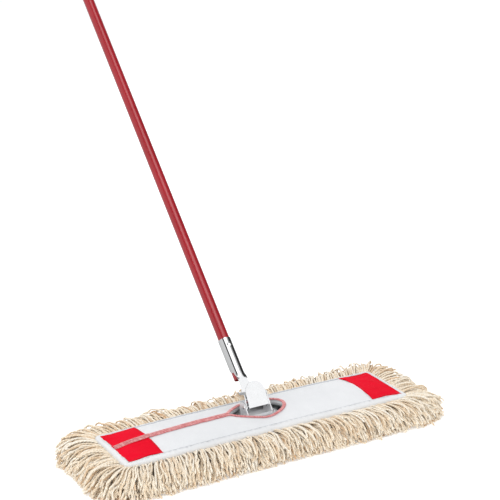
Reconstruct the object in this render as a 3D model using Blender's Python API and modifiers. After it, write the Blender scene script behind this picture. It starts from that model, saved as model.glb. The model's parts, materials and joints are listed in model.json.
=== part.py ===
"""A flat dust mop: a fringed cotton head on a wire frame, a clip-on swivel and a steel tube handle.

World frame in metres: the floor is z = 0, the head's length runs along X and the handle leans back
towards +Y. The swivel's parts are drawn in a frame of their own, whose origin is on the hinge pin:
x along the pin, y away from the front plate and z up the handle. Run it in Blender 4.5.
"""
import math

import bmesh
import bpy
from mathutils import Matrix, Vector

MM = 0.001
GAP = 0.3 * MM

# Cotton head
COVER_LENGTH = 610 * MM
COVER_DEPTH = 141 * MM
PAD_HEIGHT = 36 * MM
PAD_INSET = 6 * MM
CANVAS = 1.2 * MM
HEM_TOP = 45 * MM
CROWN = 15 * MM
CROWN_END = 4
HEM_WIDTH = 9 * MM
FRINGE_AT_ENDS = 68 * MM
FRINGE_AT_SIDES = 56 * MM
FRINGE_BULGE = 0.62
PATCH_LENGTH = 70 * MM
SLIT_WIDTH = 3 * MM
KEYHOLE_X = -2 * MM
KEYHOLE_LENGTH = 116 * MM
KEYHOLE_DEPTH = 70 * MM
KEYHOLE_POINT = 1.6
EDGING_RADIUS = 2 * MM

# Wire frame and its bracket
FRAME_Y = 0 * MM
WIRE_RADIUS = 2 * MM
FRAME_END_CLEARANCE = 7 * MM
FRAME_SIDE_CLEARANCE = 13.5 * MM
FRAME_CORNER = 24 * MM
WIRE_SPACING = 18 * MM
NECK_END = 52 * MM
FLARE_END = 100 * MM
BRACKET_SHEET = 1.5 * MM
BRACKET_LENGTH = 92 * MM
BRACKET_DEPTH = 32 * MM
EAR_INSIDE = 25.2 * MM
EAR_HEIGHT = 31 * MM
EAR_CREST = 7.6 * MM
FRONT_LIP = 9 * MM
CLAMP_RIVET = 2 * MM
CLAMP_RIVETS_AT = (32 * MM, 41 * MM)

# Hinge and swivel
HINGE_PIN = 2.5 * MM
PIN_CLEARANCE = 0.3 * MM
YOKE_SIDE_PLAY = 0.5 * MM
YOKE_SHEET = 1.5 * MM
YOKE_LEG_HEIGHT = 34 * MM
WEB_FRONT = 7.1 * MM
WEB_TOP = 46 * MM
PLATE_SHEET = 1.2 * MM
PLATE_Y = -11 * MM
PLATE_Z = -1.5 * MM
PLATE_TILT = 14.5
PLATE_SIDE_CLEARANCE = 2.2 * MM
PLATE_SHOULDER = 20 * MM
PLATE_HEIGHT = 43.5 * MM
RELEASE_PIN = 1.6 * MM
RELEASE_PIN_Y = -6 * MM
RELEASE_PIN_Z = 13 * MM
SPRING_WIRE = 0.5 * MM
SPRING_COIL = 3 * MM
SPRING_TURNS = 5.5
SWING_RIVET = 2.6 * MM
SWING_RIVET_Z = 36 * MM
RIVET_HEAD = 5 * MM
WASHER_THICKNESS = 1.2 * MM

# Handle
HANDLE_LEAN = 44.5
HANDLE_SWING = -0.5
TUBE_RADIUS = 11.1 * MM
TUBE_WALL = 0.9 * MM
TUBE_LENGTH = 1450 * MM
TUBE_BOTTOM = 64 * MM
FERRULE_SHEET = 1.3 * MM
FERRULE_CLEARANCE = 0.2 * MM
FERRULE_TOP = 149 * MM
SHELL_BOTTOM = 78 * MM
SHELL_CUT = 16 * MM
FLARE_HEIGHT = 19 * MM
SEAM_ANGLE = 176
TONGUE_ANGLE = 62
TONGUE_TIP = 26 * MM
TONGUE_WIDTH = 20 * MM
BOLT_RADIUS = 2.2 * MM
BOLT_Z = 134 * MM
BOLT_HEAD = 4.6 * MM
NUT_RADIUS = 4.2 * MM
CAP_WALL = 1.8 * MM
CAP_DEPTH = 34 * MM
EYE_RADIUS = 7.5 * MM
EYE_RIM = 4.5 * MM
EYE_THICKNESS = 5 * MM
CAP_ROOF = 5 * MM

HALF_LENGTH = COVER_LENGTH / 2
HALF_DEPTH = COVER_DEPTH / 2
FRAME_LENGTH = COVER_LENGTH - 2 * FRAME_END_CLEARANCE
FRAME_DEPTH = COVER_DEPTH - 2 * FRAME_SIDE_CLEARANCE
BACKING_BOTTOM = PAD_HEIGHT + GAP
BACKING_TOP = BACKING_BOTTOM + CANVAS
SADDLE_BOTTOM = BACKING_TOP + GAP
SADDLE_TOP = SADDLE_BOTTOM + CANVAS
WIRE_Z = SADDLE_TOP + GAP + WIRE_RADIUS
BRACKET_BOTTOM = WIRE_Z + WIRE_RADIUS + GAP
BRACKET_TOP = BRACKET_BOTTOM + BRACKET_SHEET
EAR_TOP = BRACKET_BOTTOM + EAR_HEIGHT
EAR_OUTSIDE = EAR_INSIDE + BRACKET_SHEET
HINGE_HEIGHT = EAR_TOP - EAR_CREST
YOKE_OUTSIDE = EAR_INSIDE - YOKE_SIDE_PLAY
PLATE_WIDTH = 2 * (YOKE_OUTSIDE - YOKE_SHEET - PLATE_SIDE_CLEARANCE)
WEB_BACK = WEB_FRONT + YOKE_SHEET
TONGUE_FRONT = WEB_BACK + WASHER_THICKNESS + 2 * GAP
TONGUE_BACK = TONGUE_FRONT + FERRULE_SHEET
FERRULE_RADIUS = TUBE_RADIUS + FERRULE_CLEARANCE + FERRULE_SHEET
TUBE_AXIS_Y = TONGUE_FRONT + FERRULE_RADIUS
TUBE_TOP = TUBE_BOTTOM + TUBE_LENGTH


def start():
    """Empty the file and make the two collections: the mop's parts and the shapes that cut them."""
    for thing in list(bpy.data.objects):
        bpy.data.objects.remove(thing, do_unlink=True)
    made = []
    for name in ("flat_mop", "flat_mop_cutters"):
        made.append(bpy.data.collections.new(name))
        bpy.context.scene.collection.children.link(made[-1])
    return made


PARTS, CUTTERS = start()


def material(name, colour, roughness, metallic=0.0):
    made = bpy.data.materials.new(name)
    made.use_nodes = True
    shader = made.node_tree.nodes["Principled BSDF"]
    shader.inputs["Base Color"].default_value = (*colour, 1.0)
    shader.inputs["Roughness"].default_value = roughness
    shader.inputs["Metallic"].default_value = metallic
    made.diffuse_color = (*colour, 1.0)
    return made


def empty(name, parent=None, location=(0, 0, 0), rotation=(0, 0, 0)):
    made = bpy.data.objects.new(name, None)
    made.empty_display_size = 0.02
    made.parent = parent
    made.location = location
    made.rotation_euler = [math.radians(angle) for angle in rotation]
    PARTS.objects.link(made)
    return made


def place(name, data, look, parent=None, cutter=False):
    """Make the object of a mesh or curve that is drawn in its parent's frame."""
    made = bpy.data.objects.new(name, data)
    made.parent = parent
    if cutter:
        made.hide_render = True
        made.display_type = "WIRE"
        CUTTERS.objects.link(made)
    else:
        data.materials.append(look)
        PARTS.objects.link(made)
    return made


def combine(target, operation, *meshes):
    """Join meshes to an object, or cut them out of it."""
    for number, mesh in enumerate(meshes, 1):
        name = f"{target.name}_{operation.lower()}_{number}"
        helper = place(name, mesh, None, target.parent, cutter=True)
        step = target.modifiers.new(name, "BOOLEAN")
        step.operation = operation
        step.object = helper
        step.solver = "EXACT"


def round_off(target, width, segments=2, angle=30):
    bevel = target.modifiers.new("rounded edges", "BEVEL")
    bevel.width = width
    bevel.segments = segments
    bevel.limit_method = "ANGLE"
    bevel.angle_limit = math.radians(angle)
    bevel.use_clamp_overlap = True


def mesh_from(name, bm, smooth=False):
    mesh = bpy.data.meshes.new(name)
    bm.to_mesh(mesh)
    bm.free()
    if smooth:
        mesh.shade_smooth()
        mesh.set_sharp_from_angle(angle=math.radians(35))
    return mesh


def box(name, low, high):
    low, high = Vector(low), Vector(high)
    bm = bmesh.new()
    bmesh.ops.create_cube(bm, size=1)
    bmesh.ops.scale(bm, vec=high - low, verts=bm.verts)
    bmesh.ops.translate(bm, vec=(low + high) / 2, verts=bm.verts)
    return mesh_from(name, bm)


ALONG = {
    "X": Matrix(((0, 0, 1), (1, 0, 0), (0, 1, 0))).to_4x4(),
    "Y": Matrix(((1, 0, 0), (0, 0, -1), (0, 1, 0))).to_4x4(),
    "Z": Matrix.Identity(4),
}


def rod(name, radius, start_point, axis, length, top_radius=None, segments=24):
    """A cylinder or cone that starts at a point and runs along +X, +Y or +Z."""
    bm = bmesh.new()
    end_radius = radius if top_radius is None else top_radius
    bmesh.ops.create_cone(
        bm, cap_ends=True, segments=segments, radius1=radius, radius2=end_radius, depth=length
    )
    bmesh.ops.translate(bm, vec=(0, 0, length / 2), verts=bm.verts)
    turn = ALONG[axis].copy() if axis != "Y" else Matrix.Rotation(math.radians(-90), 4, "X")
    bmesh.ops.transform(bm, matrix=Matrix.Translation(start_point) @ turn, verts=bm.verts)
    return mesh_from(name, bm, smooth=True)


def arc(centre, radius, start_angle, end_angle, steps, height=None):
    """Points of a circular or elliptical arc, its ends included, with angles in degrees."""
    other = radius if height is None else height
    points = []
    for step in range(steps + 1):
        angle = math.radians(start_angle + (end_angle - start_angle) * step / steps)
        points.append((centre[0] + radius * math.cos(angle), centre[1] + other * math.sin(angle)))
    return points


def flat(name, outline, thickness, middle, normal):
    """A plate of an outline given in the two axes across its normal: X (y, z), Y (x, z) or Z (x, y)."""
    curve = bpy.data.curves.new(name, "CURVE")
    curve.dimensions = "2D"
    curve.fill_mode = "BOTH"
    curve.extrude = thickness / 2
    spline = curve.splines.new("POLY")
    spline.points.add(len(outline) - 1)
    spline.use_cyclic_u = True
    for point, place_at in zip(spline.points, outline):
        point.co = (*place_at, 0, 1)
    return as_mesh(name, curve, Matrix.Translation(middle) @ ALONG[normal])


def as_mesh(name, curve, matrix):
    """The closed mesh of a curve, for a piece that is cut or joined."""
    helper = bpy.data.objects.new(name, curve)
    bpy.context.scene.collection.objects.link(helper)
    depsgraph = bpy.context.evaluated_depsgraph_get()
    mesh = bpy.data.meshes.new_from_object(helper.evaluated_get(depsgraph))
    mesh.name = name
    bpy.data.objects.remove(helper, do_unlink=True)
    bm = bmesh.new()
    bm.from_mesh(mesh)
    bmesh.ops.remove_doubles(bm, verts=bm.verts, dist=0.00001)
    bmesh.ops.transform(bm, matrix=matrix, verts=bm.verts)
    bm.to_mesh(mesh)
    bm.free()
    return mesh


def wire(name, points, radius, resolution=2, cyclic=False):
    curve = bpy.data.curves.new(name, "CURVE")
    curve.dimensions = "3D"
    curve.bevel_depth = radius
    curve.bevel_resolution = resolution
    curve.use_fill_caps = not cyclic
    spline = curve.splines.new("POLY")
    spline.points.add(len(points) - 1)
    spline.use_cyclic_u = cyclic
    for point, place_at in zip(spline.points, points):
        point.co = (*place_at, 1)
    return curve


def turn(target, steps=32):
    """Turn a profile, which runs down its outer side, about the object's Z axis."""
    screw = target.modifiers.new("turned", "SCREW")
    screw.steps = steps
    screw.render_steps = steps
    screw.use_merge_vertices = True
    screw.merge_threshold = 0.00001
    screw.use_smooth_shade = True


def profile(name, points):
    bm = bmesh.new()
    corners = [bm.verts.new((radius, 0, height)) for radius, height in points]
    for first, second in zip(corners, corners[1:]):
        bm.edges.new((first, second))
    return mesh_from(name, bm)


# ---- cotton head ----------------------------------------------------------------------------------


def cover_top(x, y):
    """Height of the cover's upper face: level at the hem and crowned over the frame."""
    across = 1 - min(1, abs(y) / HALF_DEPTH) ** 2
    along = 1 - min(1, abs(x) / HALF_LENGTH) ** CROWN_END
    return HEM_TOP + CROWN * across * along


def spread(low, high, count):
    return [low + (high - low) * step / count for step in range(count + 1)]


def hemmed(half, count):
    """Positions across the cover, with one more at each side where the hem begins."""
    inner = half - HEM_WIDTH
    return [-half, *spread(-inner, inner, count), half]


def sheet(name, xs, ys, height_above, thickness, look):
    """Cloth that follows the cover, between its upper face raised by a height and a thickness below."""
    bm = bmesh.new()
    rows = [[bm.verts.new((x, y, cover_top(x, y) + height_above)) for x in xs] for y in ys]
    for low, high in zip(rows, rows[1:]):
        for column in range(len(xs) - 1):
            bm.faces.new((low[column], low[column + 1], high[column + 1], high[column]))
    made = place(name, mesh_from(name, bm), look)
    shell = made.modifiers.new("thickness", "SOLIDIFY")
    shell.thickness = thickness
    shell.offset = -1
    return made


def keyhole_outline(margin=0.0, steps=24):
    """The opening round the bracket: a half ellipse on the right and a blunt point on the left."""
    half, reach = KEYHOLE_LENGTH / 2 + margin, KEYHOLE_DEPTH / 2 + margin
    beside = SLIT_WIDTH / 2 + margin
    right = arc((KEYHOLE_X, 0), half, -90, 90, steps // 2, reach)
    back = []
    for step in range(1, steps // 2):
        angle = math.radians(90 * step / (steps // 2))
        y = max(beside, reach * math.cos(angle) ** KEYHOLE_POINT)
        back.append((KEYHOLE_X - half * math.sin(angle) ** KEYHOLE_POINT, y))
    back.append((KEYHOLE_X - half, beside))
    front = [(x, -y) for x, y in reversed(back)]
    return right + back + front


def make_cover(canvas, red):
    cover = sheet("top_cover", hemmed(HALF_LENGTH, 26), hemmed(HALF_DEPTH, 8), 0, CANVAS, canvas)
    tall = HEM_TOP + CROWN
    keyhole = flat("keyhole", keyhole_outline(), tall, (0, 0, tall), "Z")
    slit = box("slit", (-HALF_LENGTH + HEM_WIDTH, -SLIT_WIDTH / 2, 0), (0, SLIT_WIDTH / 2, 2 * tall))
    combine(cover, "DIFFERENCE", keyhole, slit)
    outer = HALF_LENGTH - HEM_WIDTH - GAP
    inner = outer - PATCH_LENGTH
    edge = HALF_DEPTH - HEM_WIDTH - GAP
    beside = SLIT_WIDTH / 2
    patch_height = CANVAS / 2 + GAP
    sheet("patch_right", spread(inner, outer, 5), spread(-edge, edge, 8), patch_height, CANVAS / 2, red)
    for name, low, high in (("front", -edge, -beside), ("back", beside, edge)):
        columns = spread(-outer, -inner, 5)
        sheet(f"patch_left_{name}", columns, spread(low, high, 4), patch_height, CANVAS / 2, red)


def make_edging(thread):
    """The overlocked thread that runs along the slit's front edge, round the keyhole and back."""
    margin = EDGING_RADIUS + GAP
    lift = CANVAS / 2 + GAP + EDGING_RADIUS + GAP
    beside = SLIT_WIDTH / 2 + margin
    slit_end = -HALF_LENGTH + HEM_WIDTH + GAP + EDGING_RADIUS
    loop = keyhole_outline(margin)
    half = [point for point in loop if point[1] > -GAP]
    half += [(x, beside) for x in spread(KEYHOLE_X - KEYHOLE_LENGTH / 2 - 2 * margin, slit_end, 12)]
    front = [(x, -y) for x, y in reversed(half)]
    path = front + half[1:]
    points = [(x, y, cover_top(x, y) + lift) for x, y in path]
    place("slot_edging", wire("slot_edging", points, EDGING_RADIUS, 1), thread)


def hem_ring(half_length, half_depth, steps_long=20, steps_short=6):
    """Points round a rectangle, with more of them than its corners so that it can follow the crown."""
    front = [(x, -half_depth) for x in spread(-half_length, half_length, steps_long)[:-1]]
    right = [(half_length, y) for y in spread(-half_depth, half_depth, steps_short)[:-1]]
    back = [(-x, -y) for x, y in front]
    left = [(-x, -y) for x, y in right]
    return front + right + back + left


def make_hem(canvas):
    """The tape bound round the cover's edge: a band on top and a band down its side."""
    lift = CANVAS + GAP
    rings = []
    for inset in (HEM_WIDTH, HEM_WIDTH / 2, -CANVAS - GAP):
        ring = hem_ring(HALF_LENGTH - inset, HALF_DEPTH - inset)
        rings.append([(x, y, cover_top(x, y) + lift) for x, y in ring])
    rings.append([(x, y, BACKING_BOTTOM) for x, y, _ in rings[-1]])
    bm = bmesh.new()
    loops = [[bm.verts.new(point) for point in ring] for ring in rings]
    for inner, outer in zip(loops, loops[1:]):
        for here in range(len(inner)):
            after = (here + 1) % len(inner)
            bm.faces.new((inner[here], outer[here], outer[after], inner[after]))
    made = place("hem_binding", mesh_from("hem_binding", bm), canvas)
    shell = made.modifiers.new("thickness", "SOLIDIFY")
    shell.thickness = CANVAS
    shell.offset = -1
    shell.use_even_offset = True


def make_pad(yarn, canvas):
    inset = PAD_INSET
    low = (-HALF_LENGTH + inset, -HALF_DEPTH + inset, 0)
    high = (HALF_LENGTH - inset, HALF_DEPTH - inset, PAD_HEIGHT)
    pad = place("yarn_pad", box("yarn_pad", low, high), yarn)
    round_off(pad, 4 * MM)
    low = (-HALF_LENGTH, -HALF_DEPTH, BACKING_BOTTOM)
    high = (HALF_LENGTH, HALF_DEPTH, BACKING_TOP)
    place("backing_canvas", box("backing_canvas", low, high), canvas)


def make_fringe(yarn):
    """Four skirts of yarn that fall outward to the floor, mitred at the corners."""
    inner = (HALF_LENGTH - PAD_INSET + GAP, HALF_DEPTH - PAD_INSET + GAP)
    reach = (FRINGE_AT_ENDS, FRINGE_AT_SIDES)
    levels = ((PAD_HEIGHT, 0.0), (PAD_HEIGHT * 0.6, FRINGE_BULGE), (0.0, 1.0))
    for name, side, sign in (("front", 1, -1), ("back", 1, 1), ("left", 0, -1), ("right", 0, 1)):
        bm = bmesh.new()
        ends = []
        for end in (-1, 1):
            section = []
            for height, share in ((PAD_HEIGHT, None), *levels, (0.0, None)):
                corner = list(inner)
                if share is not None:
                    corner = [at + 2 * MM + share * far for at, far in zip(inner, reach)]
                corner[side] *= sign
                corner[1 - side] = (corner[1 - side] - 2 * GAP) * end
                section.append(bm.verts.new((*corner, height)))
            ends.append(section)
        count = len(ends[0])
        for here in range(count):
            after = (here + 1) % count
            bm.faces.new((ends[0][here], ends[0][after], ends[1][after], ends[1][here]))
        bm.faces.new(reversed(ends[0]))
        bm.faces.new(ends[1])
        bmesh.ops.recalc_face_normals(bm, faces=bm.faces)
        place(f"fringe_{name}", mesh_from(f"fringe_{name}", bm), yarn)


# ---- wire frame and bracket -----------------------------------------------------------------------


def frame_path(side):
    """One wire loop of the frame: out of the bracket, flaring, round the end and back."""
    near, far = WIRE_SPACING / 2, FRAME_DEPTH / 2 - WIRE_RADIUS
    end = FRAME_LENGTH / 2 - WIRE_RADIUS
    run = [(EAR_OUTSIDE, near), (NECK_END, near), (FLARE_END, far)]
    corner = arc((end - FRAME_CORNER, far - FRAME_CORNER), FRAME_CORNER, 90, 0, 6)
    half = run + corner
    path = half + [(x, -y) for x, y in reversed(half)]
    return [(side * x, FRAME_Y + y, WIRE_Z) for x, y in path]


def make_frame(steel, chrome):
    for name, side in (("left", -1), ("right", 1)):
        place(f"frame_wire_{name}", wire("frame_wire", frame_path(side), WIRE_RADIUS), steel)
        low = side * (EAR_OUTSIDE - 1 * MM)
        high = side * BRACKET_LENGTH / 2
        saddle = place(
            f"frame_saddle_{name}",
            box(
                "frame_saddle",
                (min(low, high), FRAME_Y - BRACKET_DEPTH / 2, SADDLE_BOTTOM),
                (max(low, high), FRAME_Y + BRACKET_DEPTH / 2, SADDLE_TOP),
            ),
            chrome,
        )
        holes = [rivet_hole(side * x) for x in CLAMP_RIVETS_AT]
        combine(saddle, "DIFFERENCE", *holes)
        for number, x in enumerate(CLAMP_RIVETS_AT, 1):
            make_clamp_rivet(f"clamp_rivet_{name}_{number}", side * x, chrome)


def rivet_hole(x):
    start_point = (x, FRAME_Y, SADDLE_BOTTOM - 2 * MM)
    return rod("rivet_hole", CLAMP_RIVET + GAP, start_point, "Z", 12 * MM, segments=20)


def make_clamp_rivet(name, x, chrome):
    head, height = 2 * CLAMP_RIVET, 1.6 * MM
    under = BRACKET_TOP + GAP
    dome = [(head * math.sin(angle), under + height * math.cos(angle)) for angle in
            (math.radians(degrees) for degrees in range(0, 91, 18))]
    outline = [*dome, (CLAMP_RIVET, under), (CLAMP_RIVET, SADDLE_BOTTOM), (0, SADDLE_BOTTOM)]
    rivet = place(name, profile(name, outline), chrome, empty(f"{name}_axis", None, (x, FRAME_Y, 0)))
    turn(rivet, 20)


def make_bracket(chrome):
    """A pressed channel: a base plate over the wires, two ears for the hinge pin and a front lip."""
    half = BRACKET_LENGTH / 2
    front, back = FRAME_Y - BRACKET_DEPTH / 2, FRAME_Y + BRACKET_DEPTH / 2
    round_end = 5 * MM
    base_outline = []
    for corner, angle in (((half, back), 0), ((-half, back), 90), ((-half, front), 180), ((half, front), 270)):
        inward = (
            corner[0] - math.copysign(round_end, corner[0]),
            corner[1] - math.copysign(round_end, corner[1] - FRAME_Y),
        )
        base_outline += arc(inward, round_end, angle, angle + 90, 4)
    middle = BRACKET_BOTTOM + BRACKET_SHEET / 2
    bracket = place(
        "base_bracket", flat("base", base_outline, BRACKET_SHEET, (0, 0, middle), "Z"), chrome
    )
    crest = 8 * MM
    ear = [(front, BRACKET_BOTTOM), (back, BRACKET_BOTTOM)]
    ear += arc((back - crest, EAR_TOP - crest), crest, 0, 90, 6)
    ear += [(front + 14 * MM, EAR_TOP), (front, BRACKET_TOP + FRONT_LIP + 2 * MM)]
    ears = []
    for side in (-1, 1):
        at = side * (EAR_INSIDE + BRACKET_SHEET / 2)
        ears.append(flat("ear", ear, BRACKET_SHEET, (at, 0, 0), "X"))
    reach = EAR_OUTSIDE - BRACKET_SHEET / 2
    lip_low = (-reach, front, BRACKET_BOTTOM + BRACKET_SHEET / 2)
    lip = box("lip", lip_low, (reach, front + BRACKET_SHEET, BRACKET_TOP + FRONT_LIP))
    combine(bracket, "UNION", *ears, lip)
    radius = HINGE_PIN + PIN_CLEARANCE / 3
    pin_hole = rod("pin_hole", radius, (-half, FRAME_Y, HINGE_HEIGHT), "X", BRACKET_LENGTH)
    holes = [rivet_hole(side * x) for side in (-1, 1) for x in CLAMP_RIVETS_AT]
    combine(bracket, "DIFFERENCE", pin_hole, *holes)


def make_hinge_pin(chrome, hinge):
    """The pin through the bracket's ears, with a domed head on the left and a push nut on the right."""
    head, head_height = 4.2 * MM, 2 * MM
    seat = EAR_OUTSIDE + GAP
    tip = EAR_OUTSIDE + 3.4 * MM
    axle = empty("hinge_pin_axis", hinge, rotation=(0, 90, 0))
    dome = [(head * math.sin(angle), -seat - head_height * math.cos(angle)) for angle in
            (math.radians(degrees) for degrees in range(90, -1, -18))]
    outline = [(0, tip), (HINGE_PIN - 0.5 * MM, tip), (HINGE_PIN, tip - 0.5 * MM), (HINGE_PIN, -seat), *dome]
    turn(place("hinge_pin", profile("hinge_pin", outline), chrome, axle), 24)
    nut = place("push_nut", rod("push_nut", 2 * HINGE_PIN, (seat, 0, 0), "X", 1.2 * MM), chrome, hinge)
    combine(nut, "DIFFERENCE", rod("nut_hole", HINGE_PIN + 0.1 * MM, (0, 0, 0), "X", 2 * tip))


# ---- swivel ---------------------------------------------------------------------------------------


def make_yoke(chrome, fold):
    """A pressed yoke: two hooked legs that sit on the hinge pin and a web that carries the rivet."""
    slot = HINGE_PIN + PIN_CLEARANCE
    leg = [(-slot, -7 * MM), *arc((0, 0), slot, 180, 0, 8), (slot, -7 * MM), (5.2 * MM, -6.2 * MM)]
    leg += [(7.2 * MM, -2 * MM), (8.4 * MM, 4 * MM), (9.2 * MM, 14 * MM), (WEB_BACK, 20 * MM)]
    leg += [(WEB_BACK, YOKE_LEG_HEIGHT), (WEB_FRONT - 2 * MM, YOKE_LEG_HEIGHT), (1 * MM, 26 * MM)]
    leg += [(-13 * MM, 20 * MM), (-13 * MM, 14 * MM), (-7.8 * MM, 2 * MM), (-7.2 * MM, -2 * MM)]
    leg += [(-5.2 * MM, -6.2 * MM)]
    legs = []
    for side in (-1, 1):
        at = side * (YOKE_OUTSIDE - YOKE_SHEET / 2)
        legs.append(flat("leg", leg, YOKE_SHEET, (at, 0, 0), "X"))
    reach, shoulder = YOKE_OUTSIDE - YOKE_SHEET / 2, 13 * MM
    web = [(-reach, 14 * MM), (reach, 14 * MM), (reach, YOKE_LEG_HEIGHT)]
    web += arc((0, WEB_TOP - shoulder), shoulder + 2 * MM, 0, 180, 12, shoulder)
    web += [(-reach, YOKE_LEG_HEIGHT)]
    middle = (0, WEB_FRONT + YOKE_SHEET / 2, 0)
    yoke = place("swivel_yoke", flat("web", web, YOKE_SHEET, middle, "Y"), chrome, fold)
    combine(yoke, "UNION", *legs)
    release_hole = rod(
        "release_hole",
        RELEASE_PIN + 0.1 * MM,
        (-2 * YOKE_OUTSIDE, RELEASE_PIN_Y, RELEASE_PIN_Z),
        "X",
        4 * YOKE_OUTSIDE,
    )
    swing_hole = rod(
        "swing_hole", SWING_RIVET + 0.1 * MM, (0, 0, SWING_RIVET_Z), "Y", 20 * MM
    )
    combine(yoke, "DIFFERENCE", release_hole, swing_hole)
    start_point = (-YOKE_OUTSIDE + 0.1 * MM, RELEASE_PIN_Y, RELEASE_PIN_Z)
    pin = rod("release_pin", RELEASE_PIN, start_point, "X", 2 * YOKE_OUTSIDE - 0.2 * MM)
    place("release_pin", pin, chrome, fold)


def plate_point(up, depth=0.4 * MM):
    """A point of the thumb plate's side view, a way up its face and a depth behind it."""
    tilt = math.radians(PLATE_TILT)
    return (
        PLATE_Y - up * math.sin(tilt) + depth * math.cos(tilt),
        PLATE_Z + up * math.cos(tilt) + depth * math.sin(tilt),
    )


def make_release_plate(chrome, release):
    """The thumb plate of the clip: a D-shaped face with two side lugs whose hooks close on the pin."""
    half = PLATE_WIDTH / 2
    foot = (0, PLATE_Y - RELEASE_PIN_Y, PLATE_Z - RELEASE_PIN_Z)
    outline = [(-half, 0), (half, 0)]
    outline += arc((0, PLATE_SHOULDER), half, 0, 180, 24, PLATE_HEIGHT - PLATE_SHOULDER)
    face = flat("face", outline, PLATE_SHEET, (0, PLATE_SHEET / 2, 0), "Y")
    face.transform(Matrix.Translation(foot) @ Matrix.Rotation(math.radians(PLATE_TILT), 4, "X"))
    plate = place("release_plate", face, chrome, release)
    lug = [plate_point(0), (-9.6 * MM, -5 * MM), (-8.9 * MM, -7.2 * MM), (-5.4 * MM, -8 * MM)]
    lug += [(0.8 * MM, -8 * MM)]
    lug += [(0.8 * MM, -4.6 * MM), (-3.2 * MM, -4.4 * MM), (-4.4 * MM, -2.6 * MM), (-4.2 * MM, 2 * MM)]
    lug += [(-2.6 * MM, 9 * MM), (-2.2 * MM, 15 * MM), (-4.4 * MM, 17.6 * MM), (-9 * MM, 18 * MM)]
    lug += [plate_point(PLATE_SHOULDER + 1 * MM)]
    lug = [(y - RELEASE_PIN_Y, z - RELEASE_PIN_Z) for y, z in lug]
    lugs = []
    for side in (-1, 1):
        at = side * (half - PLATE_SHEET / 2 - 0.1 * MM)
        lugs.append(flat("lug", lug, PLATE_SHEET, (at, 0, 0), "X"))
    bend = [(-11 * MM, -1.2 * MM), (-9.8 * MM, -0.6 * MM), (-8.4 * MM, -6.8 * MM), (-9.5 * MM, -7 * MM)]
    bend = [(y - RELEASE_PIN_Y, z - RELEASE_PIN_Z) for y, z in bend]
    lip = flat("lip", bend, PLATE_WIDTH - PLATE_SHEET, (0, 0, 0), "X")
    combine(plate, "UNION", *lugs, lip)
    hole = rod("lug_hole", RELEASE_PIN + 0.15 * MM, (-PLATE_WIDTH, 0, 0), "X", 2 * PLATE_WIDTH)
    combine(plate, "DIFFERENCE", hole)


def make_release_spring(steel, release):
    """The torsion spring on the release pin: a coil with one leg on the thumb plate, one on the web."""
    steps = 12
    count = round(SPRING_TURNS * steps)
    length = SPRING_TURNS * 2.6 * SPRING_WIRE
    points = []
    for step in range(count + 1):
        angle = 2 * math.pi * step / steps
        along = -length / 2 + length * step / count
        points.append((along, -SPRING_COIL * math.cos(angle), -SPRING_COIL * math.sin(angle)))
    front_y, front_z = plate_point(26 * MM, PLATE_SHEET + GAP + SPRING_WIRE)
    back_y = WEB_FRONT - GAP - SPRING_WIRE
    leg_z = 10 * MM
    first = [(-length / 2, front_y - RELEASE_PIN_Y, front_z - RELEASE_PIN_Z)]
    first += [(-length / 2, -SPRING_COIL - 0.4 * MM, 2.4 * MM)]
    last = [(length / 2, SPRING_COIL + 0.4 * MM, 2.4 * MM), (length / 2, back_y - RELEASE_PIN_Y, leg_z)]
    spring = wire("release_spring", first + points + last, SPRING_WIRE, 1)
    place("release_spring", spring, steel, release)


def make_swing_rivet(chrome, steel, fold):
    """The rivet that the handle swings on, with a friction washer and a back washer."""
    axis = empty("swing_rivet_axis", fold, (0, 0, SWING_RIVET_Z), (90, 0, 0))
    washers = (
        ("friction_washer", WEB_BACK + GAP, WASHER_THICKNESS),
        ("back_washer", TONGUE_BACK + GAP, WASHER_THICKNESS),
    )
    for name, start_y, thick in washers:
        start_point = (0, start_y, SWING_RIVET_Z)
        made = place(name, rod(name, RIVET_HEAD + 2 * MM, start_point, "Y", thick), steel, fold)
        hole = rod("washer_hole", SWING_RIVET + 0.1 * MM, (0, 0, SWING_RIVET_Z), "Y", 20 * MM)
        combine(made, "DIFFERENCE", hole)
    front_seat = WEB_FRONT - GAP
    back_seat = TONGUE_BACK + WASHER_THICKNESS + 2 * GAP
    heads = ((front_seat, -1, 1.8 * MM), (back_seat, 1, 1.8 * MM))
    outline = []
    for seat, way, height in heads:
        dome = [(RIVET_HEAD * math.sin(angle), -seat - way * height * math.cos(angle)) for angle in
                (math.radians(degrees) for degrees in range(0, 91, 15))]
        if way > 0:
            dome.reverse()
            outline += [(SWING_RIVET, -front_seat), (SWING_RIVET, -seat)]
        outline += dome
    turn(place("swing_rivet", profile("swing_rivet", outline), chrome, axis), 28)


# ---- handle ---------------------------------------------------------------------------------------


def ferrule_point(angle, height):
    """A point of the ferrule's outer face: on the round socket above, on the flat tongue below."""
    turned_by = math.radians(angle)
    round_point = Vector(
        (FERRULE_RADIUS * math.sin(turned_by), TUBE_AXIS_Y - FERRULE_RADIUS * math.cos(turned_by), height)
    )
    drop = min(1, max(0, (SHELL_BOTTOM - height) / FLARE_HEIGHT))
    above_tip = min(1, max(0, (height - TONGUE_TIP) / (TONGUE_WIDTH / 2)))
    share = max(0.12, math.sqrt(1 - (1 - above_tip) ** 2))
    flat_point = Vector((TONGUE_WIDTH / 2 * share * angle / TONGUE_ANGLE, TONGUE_FRONT, height))
    return round_point.lerp(flat_point, drop * drop * (3 - 2 * drop))


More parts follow.
